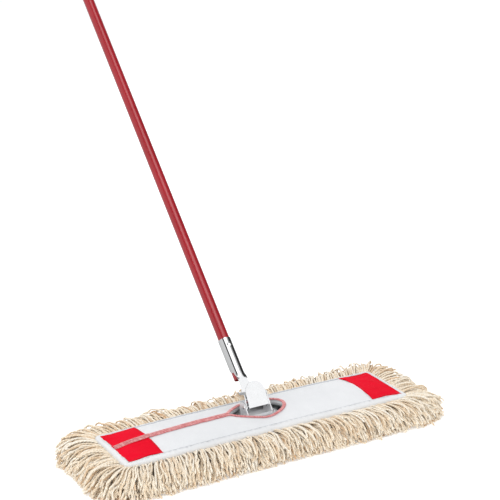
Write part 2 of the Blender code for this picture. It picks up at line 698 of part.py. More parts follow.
def make_ferrule(chrome, swing):
    """The pressed socket: sheet wrapped round the tube that flattens into the riveted tongue."""
    front = spread(-TONGUE_ANGLE, TONGUE_ANGLE, 12)
    right = spread(TONGUE_ANGLE, SEAM_ANGLE, 8)[1:]
    angles = [-angle for angle in reversed(right)] + front + right
    bm = bmesh.new()
    columns = []
    for angle in angles:
        behind = max(0, abs(angle) - 90) / (SEAM_ANGLE - 90)
        bottom = SHELL_BOTTOM + SHELL_CUT * behind ** 0.7
        heights = spread(bottom, FERRULE_TOP, 2)
        if abs(angle) <= TONGUE_ANGLE:
            tip = [TONGUE_TIP + at * MM for at in (0, 0.6, 2, 4.5, 9, 20)]
            heights = tip + spread(SHELL_BOTTOM - FLARE_HEIGHT, SHELL_BOTTOM, 8)[:-1] + heights
        columns.append([bm.verts.new(ferrule_point(angle, height)) for height in heights])
    for left_column, right_column in zip(columns, columns[1:]):
        shared = min(len(left_column), len(right_column))
        left_column, right_column = left_column[-shared:], right_column[-shared:]
        for at in range(shared - 1):
            bm.faces.new((left_column[at], right_column[at], right_column[at + 1], left_column[at + 1]))
    bmesh.ops.translate(bm, vec=(0, 0, -SWING_RIVET_Z), verts=bm.verts)
    ferrule = place("ferrule", mesh_from("ferrule", bm, smooth=True), chrome, swing)
    shell = ferrule.modifiers.new("sheet", "SOLIDIFY")
    shell.thickness = FERRULE_SHEET
    shell.offset = -1
    shell.use_even_offset = True
    tongue_hole = rod("tongue_hole", SWING_RIVET + 0.1 * MM, (0, 0, 0), "Y", 2 * TUBE_AXIS_Y)
    combine(ferrule, "DIFFERENCE", tongue_hole, bolt_hole())


def bolt_hole():
    start_point = (0, -10 * MM, BOLT_Z - SWING_RIVET_Z)
    return rod("bolt_hole", BOLT_RADIUS + GAP, start_point, "Y", 60 * MM)


def make_tube(paint, swing):
    """The handle's steel tube, open at its lower end."""
    axis = empty("handle_axis", swing, (0, TUBE_AXIS_Y, -SWING_RIVET_Z))
    inner = TUBE_RADIUS - TUBE_WALL
    outline = [(inner, TUBE_TOP), (TUBE_RADIUS, TUBE_TOP), (TUBE_RADIUS, TUBE_BOTTOM), (inner, TUBE_BOTTOM)]
    outline.append(outline[0])
    tube = place("handle_tube", profile("handle_tube", outline), paint, axis)
    turn(tube, 40)
    start_point = (0, -30 * MM, BOLT_Z)
    combine(tube, "DIFFERENCE", rod("tube_bolt_hole", BOLT_RADIUS + GAP, start_point, "Y", 60 * MM))
    return axis


def make_bolt(chrome, handle):
    """The bolt through ferrule and tube, its domed head in front and a hexagonal nut behind."""
    axis = empty("bolt_axis", handle, (0, 0, BOLT_Z), (90, 0, 0))
    seat = FERRULE_RADIUS + GAP
    head_height, nut_height, washer = 2.4 * MM, 3.4 * MM, 0.8 * MM
    dome = [(BOLT_HEAD * math.sin(angle), seat + head_height * math.cos(angle)) for angle in
            (math.radians(degrees) for degrees in range(0, 91, 15))]
    tip = -seat - washer - nut_height - 2 * GAP - 1 * MM
    outline = [*dome, (BOLT_RADIUS, seat), (BOLT_RADIUS, tip), (0, tip)]
    turn(place("ferrule_bolt", profile("ferrule_bolt", outline), chrome, axis), 24)
    pieces = (
        ("ferrule_washer", 1.25 * NUT_RADIUS, seat, washer, 24),
        ("ferrule_nut", NUT_RADIUS, seat + washer + GAP, nut_height, 6),
    )
    for name, radius, start_y, thick, sides in pieces:
        start_point = (0, start_y, BOLT_Z)
        made = place(name, rod(name, radius, start_point, "Y", thick, segments=sides), chrome, handle)
        hole = rod("nut_bore", BOLT_RADIUS + 0.1 * MM, (0, 0, BOLT_Z), "Y", 40 * MM)
        combine(made, "DIFFERENCE", hole)


def make_cap(plastic, handle):
    """The moulded end cap: a cup over the tube's end with a flat hanging eye on top."""
    inner = TUBE_RADIUS + GAP
    outer = inner + CAP_WALL
    foot, roof = TUBE_TOP - CAP_DEPTH, TUBE_TOP + GAP
    shoulder = [(outer * math.sin(angle), roof + CAP_ROOF * math.cos(angle)) for angle in
                (math.radians(degrees) for degrees in range(0, 91, 15))]
    outline = [*shoulder, (outer, foot), (inner, foot), (inner, roof), (0, roof)]
    cap = place("handle_cap", profile("handle_cap", outline), plastic, handle)
    turn(cap, 32)
    centre = roof + CAP_ROOF + EYE_RADIUS
    rim = EYE_RADIUS + EYE_RIM
    tab = [(-rim, roof + 1 * MM), (rim, roof + 1 * MM), *arc((0, centre), rim, 0, 180, 16)]
    combine(cap, "UNION", flat("tab", tab, EYE_THICKNESS, (0, 0, 0), "Y"))
    eye = rod("eye", EYE_RADIUS, (0, -30 * MM, centre), "Y", 60 * MM)
    combine(cap, "DIFFERENCE", eye)


def build():
    yarn = material("cotton_yarn", (0.80, 0.72, 0.58), 0.95)
    canvas = material("white_canvas", (0.86, 0.87, 0.89), 0.85)
    red = material("red_canvas", (0.80, 0.01, 0.03), 0.8)
    thread = material("red_thread", (0.75, 0.12, 0.14), 0.8)
    chrome = material("chrome", (0.85, 0.86, 0.87), 0.12, 1.0)
    steel = material("spring_steel", (0.55, 0.56, 0.58), 0.3, 1.0)
    paint = material("red_paint", (0.38, 0.01, 0.02), 0.3)
    plastic = material("black_plastic", (0.03, 0.03, 0.035), 0.45)

    make_pad(yarn, canvas)
    make_fringe(yarn)
    make_cover(canvas, red)
    make_edging(thread)
    make_hem(canvas)
    make_frame(steel, chrome)
    make_bracket(chrome)

    hinge = empty("hinge", None, (0, FRAME_Y, HINGE_HEIGHT))
    fold = empty("fold_axis", hinge, rotation=(-HANDLE_LEAN, 0, 0))
    release = empty("release_axis", fold, (0, RELEASE_PIN_Y, RELEASE_PIN_Z))
    swing = empty("swing_axis", fold, (0, 0, SWING_RIVET_Z), (0, HANDLE_SWING, 0))
    make_hinge_pin(chrome, hinge)
    make_yoke(chrome, fold)
    make_release_plate(chrome, release)
    make_release_spring(steel, release)
    make_swing_rivet(chrome, steel, fold)
    make_ferrule(chrome, swing)
    handle = make_tube(paint, swing)
    make_bolt(chrome, handle)
    make_cap(plastic, handle)


build()
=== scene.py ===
"""Looks of a flat dust mop: cotton fringe, stitched canvas cover, chrome clip and painted handle."""

import json
import math

import bmesh
import bpy
import numpy as np
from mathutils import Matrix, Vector, noise


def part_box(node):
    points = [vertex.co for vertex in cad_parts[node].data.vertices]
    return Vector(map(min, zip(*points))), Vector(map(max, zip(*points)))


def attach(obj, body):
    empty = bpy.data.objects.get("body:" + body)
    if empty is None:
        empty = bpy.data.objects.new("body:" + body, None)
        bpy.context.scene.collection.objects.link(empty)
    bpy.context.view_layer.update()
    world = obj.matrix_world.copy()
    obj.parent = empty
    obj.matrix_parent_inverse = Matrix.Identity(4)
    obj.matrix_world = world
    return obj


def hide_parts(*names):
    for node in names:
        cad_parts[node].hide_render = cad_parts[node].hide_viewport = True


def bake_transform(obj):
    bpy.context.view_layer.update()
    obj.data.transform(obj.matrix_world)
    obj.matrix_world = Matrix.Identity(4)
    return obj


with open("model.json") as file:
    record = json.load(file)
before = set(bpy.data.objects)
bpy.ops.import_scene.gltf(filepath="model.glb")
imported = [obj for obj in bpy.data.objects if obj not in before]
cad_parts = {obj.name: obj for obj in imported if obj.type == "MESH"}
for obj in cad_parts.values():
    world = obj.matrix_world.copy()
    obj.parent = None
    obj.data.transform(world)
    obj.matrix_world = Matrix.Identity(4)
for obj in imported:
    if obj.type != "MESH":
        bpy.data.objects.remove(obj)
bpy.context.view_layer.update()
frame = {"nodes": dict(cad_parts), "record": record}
MM = 0.001
rng = np.random.default_rng(7)

# ---- camera ---------------------------------------------------------------------------------------

camera_data = bpy.data.cameras.new("camera")
camera_data.lens = 100.8
camera_data.sensor_width = 36
camera_data.clip_start = 0.05
camera_data.clip_end = 60
camera = bpy.data.objects.new("camera", camera_data)
camera.location = (-1.2297, -2.0848, 1.1624)
camera.rotation_euler = (math.pi / 2 - 0.3150, 0, -0.5281)
bpy.context.scene.collection.objects.link(camera)
bpy.context.scene.camera = camera

# ---- sizes taken from the frame -------------------------------------------------------------------

backing_low, backing_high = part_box("backing_canvas")
HALF_X = backing_high.x
HALF_Y = backing_high.y
pad_low, pad_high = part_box("yarn_pad")
patch_low, patch_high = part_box("patch_right")
left_front_low, left_front_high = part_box("patch_left_front")
left_back_low, left_back_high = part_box("patch_left_back")
HEM_TOP = 45 * MM
HEM_WIDTH = 9 * MM
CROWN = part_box("top_cover")[1].z - HEM_TOP
COVER_CLOTH = 0.9 * MM
THIN_CLOTH = 0.7 * MM

# The keyhole and its slit, as the frame's cover has them.
SLIT = 3 * MM
KEY_X = -2 * MM
KEY_LENGTH = 116 * MM
KEY_DEPTH = 70 * MM
KEY_POINT = 1.6


# ---- materials ------------------------------------------------------------------------------------


def enabled(sockets, name):
    """The socket of that name which a node uses in its present mode."""
    return [socket for socket in sockets if socket.name == name and socket.enabled][0]


class Look:
    """A node-based material on one Principled shader."""

    def __init__(self, name, colour, roughness, metallic=0.0, **sockets):
        self.material = bpy.data.materials.new(name)
        self.material.use_nodes = True
        self.tree = self.material.node_tree
        self.shader = self.tree.nodes["Principled BSDF"]
        self.put("Base Color", (*colour, 1))
        self.put("Roughness", roughness)
        self.put("Metallic", metallic)
        for socket, value in sockets.items():
            self.put(socket.replace("_", " "), value)
        self.height = None
        self.coords = None

    def put(self, socket, value):
        self.shader.inputs[socket].default_value = value

    def node(self, kind, links=(), **values):
        made = self.tree.nodes.new(kind)
        for key, value in values.items():
            setattr(made, key, value)
        for socket, source in dict(links).items():
            if isinstance(source, bpy.types.NodeSocket):
                self.tree.links.new(source, made.inputs[socket])
            else:
                made.inputs[socket].default_value = source
        return made

    def link(self, source, socket):
        self.tree.links.new(source, self.shader.inputs[socket])

    def object_coords(self):
        if self.coords is None:
            self.coords = self.node("ShaderNodeTexCoord").outputs["Object"]
        return self.coords

    def noise(self, scale, detail=3.0, roughness=0.55, vector=None, stretch=None):
        vector = vector or self.object_coords()
        if stretch:
            vector = self.node("ShaderNodeMapping", {"Vector": vector, "Scale": stretch}).outputs[0]
        made = self.node("ShaderNodeTexNoise", {"Vector": vector, "Scale": scale, "Detail": detail})
        made.inputs["Roughness"].default_value = roughness
        return made.outputs["Fac"]

    def ramp(self, source, *stops):
        made = self.node("ShaderNodeValToRGB", {"Fac": source})
        ramp = made.color_ramp
        while len(ramp.elements) < len(stops):
            ramp.elements.new(0.5)
        for element, (at, colour) in zip(ramp.elements, stops):
            element.position = at
            element.color = (*colour, 1) if len(colour) == 3 else colour
        return made.outputs["Color"]

    def maths(self, operation, *sources):
        made = self.node("ShaderNodeMath", operation=operation)
        for number, source in enumerate(sources):
            if isinstance(source, bpy.types.NodeSocket):
                self.tree.links.new(source, made.inputs[number])
            else:
                made.inputs[number].default_value = source
        return made.outputs[0]

    def mix(self, factor, first, second, blend="MIX"):
        made = self.node("ShaderNodeMix", data_type="RGBA", blend_type=blend)
        for name, source in (("Factor", factor), ("A", first), ("B", second)):
            target = enabled(made.inputs, name)
            if isinstance(source, bpy.types.NodeSocket):
                self.tree.links.new(source, target)
            else:
                target.default_value = source
        return enabled(made.outputs, "Result")

    def bump(self, height, distance, strength=1.0):
        links = {"Height": height, "Distance": distance, "Strength": strength}
        if self.height is not None:
            links["Normal"] = self.height
        self.height = self.node("ShaderNodeBump", links).outputs[0]
        self.link(self.height, "Normal")

    def weave(self, pitch, distance, strength=0.6):
        """Over and under threads of a plain weave along X and Y."""
        split = self.node("ShaderNodeSeparateXYZ", {"Vector": self.object_coords()})
        across = self.maths("SINE", self.maths("MULTIPLY", split.outputs["X"], math.tau / pitch))
        along = self.maths("SINE", self.maths("MULTIPLY", split.outputs["Y"], math.tau / pitch))
        woven = self.maths("MULTIPLY", across, along)
        self.bump(woven, distance, strength)
        return woven


def cloth_look(name, low, high, pitch=1.1 * MM, sheen=0.15, specular=0.3):
    look = Look(name, high, 0.88, Sheen_Weight=sheen, Sheen_Roughness=0.5, Specular_IOR_Level=specular)
    patchy = look.noise(9, 5, 0.6)
    colour = look.ramp(patchy, (0.3, low), (0.7, high))
    woven = look.weave(pitch, 0.12 * MM)
    threads = look.maths("MULTIPLY_ADD", woven, 0.04, 0.96)
    fuzz = look.noise(900, 2)
    tone = look.maths("MULTIPLY_ADD", fuzz, 0.10, look.maths("SUBTRACT", threads, 0.05))
    shade = look.node("ShaderNodeCombineColor", {"Red": tone, "Green": tone, "Blue": tone}).outputs[0]
    look.link(look.mix(1.0, colour, shade, "MULTIPLY"), "Base Color")
    look.bump(look.noise(60, 4), 0.5 * MM, 0.25)
    return look.material


def yarn_look():
    look = Look("cotton_yarn", (0.8, 0.7, 0.54), 0.95, Sheen_Weight=0.35, Sheen_Roughness=0.6)
    tone_and_shade = look.node("ShaderNodeAttribute", attribute_name="tone_and_shade").outputs["Fac"]
    # The ramp's dark warm brown end is painted shade for the fringe roots and lower layers; the cream end is
    # the yarn's own colour, with random tones between.
    colour = look.ramp(
        tone_and_shade,
        (0.0, (0.66, 0.43, 0.24)),
        (0.35, (0.88, 0.73, 0.54)),
        (0.65, (0.95, 0.86, 0.71)),
        (1.0, (0.97, 0.92, 0.82)),
    )
    flecks = look.ramp(look.noise(420, 3), (0.35, (0.84, 0.77, 0.68)), (0.62, (1.0, 1.0, 1.0)))
    look.link(look.mix(1.0, colour, flecks, "MULTIPLY"), "Base Color")
    uv = look.node("ShaderNodeUVMap", uv_map="strand").outputs["UV"]
    split = look.node("ShaderNodeSeparateXYZ", {"Vector": uv})
    turns = look.maths("MULTIPLY_ADD", split.outputs["Y"], math.tau / (7 * MM), 0.0)
    ply = look.maths("MULTIPLY_ADD", split.outputs["X"], 2 * math.tau, turns)
    look.bump(look.maths("SINE", ply), 0.45 * MM, 0.9)
    look.bump(look.noise(1500, 2), 0.15 * MM, 0.5)
    return look.material


def thread_look(name, low, high):
    look = Look(name, high, 0.75, Sheen_Weight=0.2)
    tone_and_shade = look.node("ShaderNodeAttribute", attribute_name="tone_and_shade").outputs["Fac"]
    colour = look.ramp(tone_and_shade, (0.0, low), (1.0, high))
    flecks = look.ramp(look.noise(700, 2), (0.3, (0.8, 0.8, 0.8)), (0.65, (1.0, 1.0, 1.0)))
    look.link(look.mix(1.0, colour, flecks, "MULTIPLY"), "Base Color")
    look.bump(look.noise(2200, 2), 0.08 * MM, 0.6)
    return look.material


def chrome_look(name="chrome", colour=(0.88, 0.89, 0.90), rough=(0.05, 0.14), metallic=1.0):
    look = Look(name, colour, rough[0], metallic)
    smear = look.noise(38, 5, 0.65)
    fine = look.noise(260, 3, stretch=(1, 1, 0.08))
    both = look.maths("MULTIPLY_ADD", fine, 0.35, look.maths("MULTIPLY", smear, 0.65))
    level = look.node("ShaderNodeMapRange", {"Value": both, "To Min": rough[0], "To Max": rough[1]})
    level.inputs["From Min"].default_value = 0.3
    level.inputs["From Max"].default_value = 0.7
    look.link(level.outputs[0], "Roughness")
    tone = look.ramp(smear, (0.3, tuple(c * 0.94 for c in colour)), (0.7, colour))
    look.link(tone, "Base Color")
    look.bump(look.noise(140, 2), 0.05 * MM, 0.25)
    return look.material


def steel_look():
    look = Look("spring_steel", (0.5, 0.51, 0.53), 0.32, 1.0)
    grain = look.noise(500, 4, stretch=(0.05, 1, 1))
    look.link(look.ramp(grain, (0.3, (0.40, 0.41, 0.43)), (0.7, (0.58, 0.59, 0.61))), "Base Color")
    level = look.node("ShaderNodeMapRange", {"Value": grain, "To Min": 0.24, "To Max": 0.42})
    look.link(level.outputs[0], "Roughness")
    look.bump(grain, 0.05 * MM, 0.4)
    return look.material


def paint_look():
    look = Look("red_paint", (0.36, 0.012, 0.02), 0.28, Coat_Weight=0.8, Coat_Roughness=0.12)
    patchy = look.noise(6, 4)
    look.link(look.ramp(patchy, (0.3, (0.28, 0.003, 0.009)), (0.7, (0.35, 0.006, 0.015))), "Base Color")
    level = look.node("ShaderNodeMapRange", {"Value": look.noise(90, 4), "To Min": 0.22, "To Max": 0.38})
    look.link(level.outputs[0], "Roughness")
    look.bump(look.noise(900, 2), 0.04 * MM, 0.25)
    return look.material


def plastic_look():
    look = Look("black_plastic", (0.02, 0.02, 0.022), 0.45)
    tone = look.ramp(look.noise(40, 3), (0.3, (0.016, 0.016, 0.018)), (0.7, (0.03, 0.03, 0.032)))
    look.link(tone, "Base Color")
    level = look.node("ShaderNodeMapRange", {"Value": look.noise(200, 3), "To Min": 0.38, "To Max": 0.6})
    look.link(level.outputs[0], "Roughness")
    look.bump(look.noise(1800, 2), 0.08 * MM, 0.5)
    return look.material


YARN = yarn_look()
CANVAS = cloth_look("white_canvas", (0.70, 0.71, 0.72), (0.77, 0.775, 0.785))
HEM = cloth_look("hem_tape", (0.70, 0.71, 0.72), (0.78, 0.785, 0.79), pitch=1.6 * MM)
# Painted shade: a grey cloth for the cord that stands in for the shaded groove between the cover and the
# hem.
SEAM_SHADE = cloth_look("hem_seam_shade", (0.46, 0.48, 0.50), (0.58, 0.60, 0.62), pitch=1.4 * MM)
RED = cloth_look("red_canvas", (0.66, 0.001, 0.012), (0.80, 0.003, 0.024), sheen=0.0, specular=0.15)
PINK = thread_look("red_thread", (0.58, 0.05, 0.07), (0.95, 0.58, 0.56))
RED_THREAD = thread_look("patch_thread", (0.45, 0.003, 0.01), (0.75, 0.02, 0.03))
WHITE_THREAD = thread_look("white_thread", (0.62, 0.63, 0.65), (0.85, 0.85, 0.85))
CHROME = chrome_look()
PRESSED = chrome_look("pressed_chrome", (0.84, 0.85, 0.86), (0.25, 0.5), metallic=0.45)
STEEL = steel_look()
PAINT = paint_look()
PLASTIC = plastic_look()


# ---- making pieces --------------------------------------------------------------------------------


def finish_piece(made, material, body, replaces=()):
    made.data.materials.clear()
    made.data.materials.append(material)
    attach(made, body)
    if replaces:
        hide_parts(*replaces)
    return made


def new_mesh(name, verts, loops, starts):
    """An object of vertices and polygons given as numpy arrays."""
    mesh = bpy.data.meshes.new(name)
    mesh.vertices.add(len(verts))
    mesh.vertices.foreach_set("co", np.asarray(verts, np.float32).ravel())
    mesh.loops.add(len(loops))
    mesh.loops.foreach_set("vertex_index", np.asarray(loops, np.int32))
    mesh.polygons.add(len(starts))
    mesh.polygons.foreach_set("loop_start", np.asarray(starts, np.int32))
    mesh.update(calc_edges=True)
    mesh.polygons.foreach_set("use_smooth", np.full(len(starts), True))
    mesh.validate()
    made = bpy.data.objects.new(name, mesh)
    bpy.context.scene.collection.objects.link(made)
    return made


def sewn_cloth(name, bm, thickness, offset=-1):
    """An object of a bmesh's faces, given the cloth's thickness."""
    mesh = bpy.data.meshes.new(name)
    bm.to_mesh(mesh)
    bm.free()
    mesh.shade_smooth()
    made = bpy.data.objects.new(name, mesh)
    bpy.context.scene.collection.objects.link(made)
    shell = made.modifiers.new("thickness", "SOLIDIFY")
    shell.thickness = thickness
    shell.offset = offset
    return made


def tubes(name, lines, radii, sideways, tones_and_shades, sides=6):
    """Tubes along lines of shape (count, points, 3), each with its radii, direction across and tone, which
    for the fringe yarn carries painted shade.
    """
    lines = np.asarray(lines, float)
    count, points, _ = lines.shape
    radii = np.broadcast_to(np.asarray(radii, float), (count, points))
    tangent = np.gradient(lines, axis=1)
    tangent /= np.linalg.norm(tangent, axis=2, keepdims=True) + 1e-12
    side = np.broadcast_to(np.asarray(sideways, float).reshape(-1, 1, 3), lines.shape)
    side = side - (side * tangent).sum(2, keepdims=True) * tangent
    side /= np.linalg.norm(side, axis=2, keepdims=True) + 1e-12
    other = np.cross(tangent, side)
    angle = np.arange(sides) * math.tau / sides
    ring = np.cos(angle)[:, None] * side[:, :, None] + np.sin(angle)[:, None] * other[:, :, None]
    verts = lines[:, :, None] + ring * radii[:, :, None, None]
    index = np.arange(count * points * sides).reshape(count, points, sides)
    nxt = np.roll(index, -1, axis=2)
    quads = np.stack([index[:, :-1], nxt[:, :-1], nxt[:, 1:], index[:, 1:]], axis=3)
    quads = quads.reshape(-1, 4)
    caps = np.concatenate([index[:, 0, ::-1], index[:, -1]], axis=0)
    loops = np.concatenate([quads.ravel(), caps.ravel()])
    starts = np.concatenate([np.arange(len(quads)) * 4, len(quads) * 4 + np.arange(len(caps)) * sides])
    made = new_mesh(name, verts.reshape(-1, 3), loops, starts)
    mesh = made.data
    length = np.concatenate(
        [np.zeros((count, 1)), np.cumsum(np.linalg.norm(np.diff(lines, axis=1), axis=2), axis=1)], axis=1
    )
    length = length + (np.arange(count) * 0.37 % 1)[:, None] * 0.01
    u = np.stack([np.arange(sides), np.arange(sides) + 1, np.arange(sides) + 1, np.arange(sides)], 1) / sides
    u = np.broadcast_to(u, (count, points - 1, sides, 4))
    low = np.broadcast_to(length[:, :-1, None, None], (count, points - 1, sides, 4))
    high = np.broadcast_to(length[:, 1:, None, None], (count, points - 1, sides, 4))
    v = np.where(np.array([True, True, False, False]), low, high)
    flat = np.stack([u, v], axis=-1).reshape(-1, 2)
    flat = np.concatenate([flat, np.zeros((len(caps) * sides, 2))])
    layer = mesh.uv_layers.new(name="strand")
    layer.data.foreach_set("uv", flat.astype(np.float32).ravel())
    attribute = mesh.attributes.new("tone_and_shade", "FLOAT", "POINT")
    tones_and_shades = np.broadcast_to(np.asarray(tones_and_shades, float).reshape(count, -1), (count, points))
    attribute.data.foreach_set("value", np.repeat(tones_and_shades.ravel(), sides).astype(np.float32))
    return made


def smooth_noise(x, y=0.0, z=0.0):
    return noise.noise(Vector((x, y, z)))


# ---- cover ----------------------------------------------------------------------------------------


def crown(x, y):
    across = 1 - min(1, abs(y) / HALF_Y) ** 2
    along = 1 - min(1, abs(x) / HALF_X) ** 4
    return HEM_TOP + CROWN * across * along


def keyhole(margin=0.0, steps=24):
    """The opening round the bracket: a half ellipse on the right and a blunt point on the left."""
    half, reach = KEY_LENGTH / 2 + margin, KEY_DEPTH / 2 + margin
    beside = SLIT / 2 + margin
    right = []
    for step in range(steps + 1):
        angle = math.pi * (step / steps - 0.5)
        right.append((KEY_X + half * math.cos(angle), reach * math.sin(angle)))
    back = []
    for step in range(1, steps):
        angle = math.pi / 2 * step / steps
        y = max(beside, reach * math.cos(angle) ** KEY_POINT)
        back.append((KEY_X - half * math.sin(angle) ** KEY_POINT, y))
    back.append((KEY_X - half, beside))
    front = [(x, -y) for x, y in reversed(back)]
    return [(x, y + sag(x, y)) for x, y in right + back + front]


def sag(x, y):
    """How far the opening's front edge, which is sewn by hand, strays from its pattern."""
    if y > -5 * MM:
        return 0.0
    out = 1.9 * MM * math.exp(-((x - 12 * MM) / (15 * MM)) ** 2)
    return 1.1 * MM * math.exp(-((x + 24 * MM) / (13 * MM)) ** 2) - out


KEYHOLE = np.array(keyhole())


def outline_distance(x, y):
    """How far a point is outside the keyhole and the slit, in metres; negative inside them."""
    a = KEYHOLE
    b = np.roll(a, -1, axis=0)
    ab = b - a
    p = np.array([x, y])
    t = np.clip(((p - a) * ab).sum(1) / (ab * ab).sum(1), 0, 1)
    near = np.linalg.norm(a + ab * t[:, None] - p, axis=1).min()
    crossing = ((a[:, 1] > y) != (b[:, 1] > y)) & (
        x < (b[:, 0] - a[:, 0]) * (y - a[:, 1]) / (b[:, 1] - a[:, 1] + 1e-15) + a[:, 0]
    )
    inside = crossing.sum() % 2 == 1
    key = -near if inside else near
    slit_end = -HALF_X + HEM_WIDTH
    slit = max(abs(y) - SLIT / 2, slit_end - x, x - KEY_X)
    return min(key, slit)


def edge_lift(distance):
    """How much the cloth stands up beside the keyhole and the slit, where the edging gathers it."""
    return 0.9 * MM * math.exp(-max(0, distance) / (5 * MM))


def cover_z(x, y):
    """Height of the cloth: the crown with soft wrinkles, pulled tight and puckered at the hem."""
    z = crown(x, y)
    hem = min(1, (HALF_Y - abs(y)) / (22 * MM), (HALF_X - abs(x)) / (22 * MM))
    hem = max(0, hem)
    soft = 1.1 * MM * smooth_noise(x * 15, y * 26, 3.1) + 0.55 * MM * smooth_noise(x * 44, y * 52, 8.2)
    fine = 0.18 * MM * smooth_noise(x * 140, y * 160, 1.7)
    z += (soft + fine) * (0.25 + 0.75 * hem)
    pucker = 0.35 * MM * math.sin(x * 420 + 2.2 * smooth_noise(x * 30, 0.5)) * (1 - hem)
    return z + pucker


def make_cover():
    step = 2.6 * MM
    xs = np.arange(-HALF_X + 3 * MM, HALF_X - 3 * MM + step / 2, step)
    ys = np.arange(-HALF_Y + 3 * MM, HALF_Y - 3 * MM + step / 2, step)
    bm = bmesh.new()
    grid = []
    distance = {}
    for y in ys:
        row = []
        for x in xs:
            vert = bm.verts.new((x, y, 0))
            distance[vert] = outline_distance(x, y)
            row.append(vert)
        grid.append(row)
    for low, high in zip(grid, grid[1:]):
        for i in range(len(xs) - 1):
            corners = (low[i], low[i + 1], high[i + 1], high[i])
            if min(distance[c] for c in corners) > -0.4 * step:
                bm.faces.new(corners)
    bmesh.ops.delete(bm, geom=[v for v in bm.verts if not v.link_faces], context="VERTS")
    outline = KEYHOLE
    following = np.roll(outline, -1, axis=0) - outline
    for vert in bm.verts:
        x, y = vert.co.x, vert.co.y
        edge = vert.is_boundary and abs(x) < HALF_X - 6 * MM and abs(y) < HALF_Y - 6 * MM
        if edge:
            p = np.array([x, y])
            t = np.clip(((p - outline) * following).sum(1) / (following * following).sum(1), 0, 1)
            near = outline + following * t[:, None]
            best = near[np.linalg.norm(near - p, axis=1).argmin()]
            if x < KEY_X - KEY_LENGTH / 2 or np.linalg.norm(best - p) > 3 * MM:
                best = np.array([x, math.copysign(SLIT / 2, y)])
            x, y = best
        vert.co = (x, y, cover_z(x, y) + edge_lift(distance[vert]))
    made = sewn_cloth("cover_cloth", bm, COVER_CLOTH)
    finish_piece(made, CANVAS, "head", ["top_cover"])
    return made


def rounded_rectangle(half_x, half_y, radius, spacing):
    """Points and outward directions round a rectangle with round corners, about a spacing apart."""
    points, normals = [], []
    corners = ((1, -1, -90), (1, 1, 0), (-1, 1, 90), (-1, -1, 180))
    for (sx, sy, start), (tx, ty, _) in zip(corners, corners[1:] + corners[:1]):
        centre = (sx * (half_x - radius), sy * (half_y - radius))
        steps = max(3, round(radius * math.pi / 2 / spacing))
        for i in range(steps):
            angle = math.radians(start + 90 * i / steps)
            points.append((centre[0] + radius * math.cos(angle), centre[1] + radius * math.sin(angle)))
            normals.append((math.cos(angle), math.sin(angle)))
        angle = math.radians(start + 90)
        first = (centre[0] + radius * math.cos(angle), centre[1] + radius * math.sin(angle))
        last = (
            tx * (half_x - radius) + radius * math.cos(angle),
            ty * (half_y - radius) + radius * math.sin(angle),
        )
        length = math.dist(first, last)
        steps = max(1, round(length / spacing))
        for i in range(steps):
            share = i / steps
            points.append((first[0] + (last[0] - first[0]) * share, first[1] + (last[1] - first[1]) * share))
            normals.append((math.cos(angle), math.sin(angle)))
    return points, normals


def make_hem():
    """The binding: a tape folded over the cover's edge, with a soft roll at its outer corner."""
    radius = 11 * MM
    points, normals = rounded_rectangle(HALF_X - 0.5 * MM, HALF_Y - 0.5 * MM, radius, 3 * MM)
    bottom = backing_low.z + 0.4 * MM
    section = (
        (9.6, 0.15), (9.3, 1.25), (8.4, 1.7), (6.6, 1.75), (4.6, 1.5), (2.8, 1.15),
        (1.3, 0.6), (0.3, -0.6), (-0.3, -2.2), (-0.5, -4.2), (-0.2, -6.4), (0.0, None),
    )
    rings = []
    for number, ((x, y), (nx, ny)) in enumerate(zip(points, normals)):
        ring = []
        for inset, rise in section:
            px, py = x - nx * inset * MM, y - ny * inset * MM
            wave = 0.4 * MM * smooth_noise(px * 60, py * 60, 5.0) + 0.3 * MM * math.sin(number * 1.7)
            if rise is None:
                z = bottom
            else:
                top = cover_z(px, py) if inset > 2 else crown(px, py)
                z = top + rise * MM + (wave if inset > 1 else 0)
            out = (0.5 * MM * smooth_noise(px * 45, py * 45, 2.0)) if inset < 1 else 0
            ring.append((px + nx * out, py + ny * out, z))
        rings.append(ring)
    bm = bmesh.new()
    loops = [[bm.verts.new(p) for p in ring] for ring in rings]
    count = len(loops)
    for i in range(count):
        a, b = loops[i], loops[(i + 1) % count]
        for j in range(len(section) - 1):
            bm.faces.new((a[j], a[j + 1], b[j + 1], b[j]))
    bmesh.ops.recalc_face_normals(bm, faces=bm.faces)
    made = sewn_cloth("hem_tape", bm, COVER_CLOTH)
    finish_piece(made, HEM, "head", ["hem_binding"])
    # Painted shade: a grey cord 10.6 mm in from the edge, put where the groove between the cover and the hem
    # falls in shade.
    seam_shade_line = []
    for x, y in rounded_rectangle(HALF_X - 10.6 * MM, HALF_Y - 10.6 * MM, 5 * MM, 3 * MM)[0]:
        seam_shade_line.append((x, y, cover_z(x, y) + 0.6 * MM))
    seam_shade_line.append(seam_shade_line[0])
    seam_shade_cord = tubes("hem_seam_shade", [seam_shade_line], 0.95 * MM, (0, 0, 1), [0.5], sides=6)
    finish_piece(seam_shade_cord, SEAM_SHADE, "head")
    stitches = []
    spots, ways = rounded_rectangle(HALF_X - 7.6 * MM, HALF_Y - 7.6 * MM, 6 * MM, 3.1 * MM)
    for (x, y), (nx, ny) in zip(spots, ways):
        tx, ty = -ny, nx
        line = []
        for t in (-1, -0.5, 0, 0.5, 1):
            px, py = x + tx * t * 1.15 * MM, y + ty * t * 1.15 * MM
            line.append((px, py, cover_z(px, py) + (1.85 + 0.22 * (1 - t * t)) * MM))
        stitches.append(line)
    thread = tubes("hem_stitches", stitches, 0.32 * MM, (0, 0, 1), rng.random(len(stitches)), sides=5)
    finish_piece(thread, WHITE_THREAD, "head")
    return made


